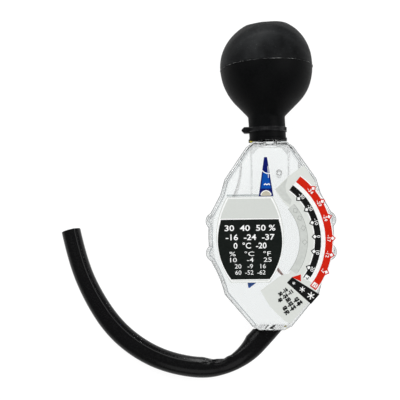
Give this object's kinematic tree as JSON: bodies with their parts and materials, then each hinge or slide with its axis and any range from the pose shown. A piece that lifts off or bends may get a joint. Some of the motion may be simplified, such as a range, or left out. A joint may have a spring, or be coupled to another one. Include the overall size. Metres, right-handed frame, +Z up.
{
  "type": "antifreeze tester",
  "caption": "Antifreeze tester with a clear flat case, a squeeze bulb, a bent pick-up hose and a pivoted float whose pointer swings along a printed scale",
  "frame": {"origin": "Middle of the box of the tester lying on its back, without the hose, on the ground below it.", "axes": "+Z up, away from the surface it lies on; +Y along the case towards the bulb; +X to the right, seen on the dial."},
  "size_m": [0.1498, 0.1913, 0.0505],
  "materials": {
    "clear_front": "clear moulded plastic",
    "clear_rear": "clear moulded plastic",
    "bulb_rubber": "matt black rubber",
    "tie_nylon": "black nylon",
    "pin_steel": "drawn steel",
    "float_blue": "moulded blue plastic",
    "weight_brass": "turned brass",
    "pointer_red": "moulded red plastic",
    "name_print": "printed label",
    "scale_print": "printed label",
    "level_print": "printed label",
    "hose_rubber": "black rubber hose"
  },
  "bodies": {
    "case": {"front_shell": "clear_front", "rear_shell": "clear_rear", "rubber_bulb": "bulb_rubber", "cable_tie": "tie_nylon", "pivot_pin": "pin_steel", "name_label": "name_print", "scale_label": "scale_print", "level_label": "level_print", "hose": "hose_rubber"},
    "float": {"float_vane": "float_blue", "balance_weight": "weight_brass", "pointer": "pointer_red"}
  },
  "joints": [
    {"name": "float_swing", "type": "hinge", "parent": "case", "child": "float", "pos_m": [-0.0101, -0.03319, 0.01503], "axis": [0, -0.1085, 0.9941], "range_deg": [0, 109]}
  ]
}
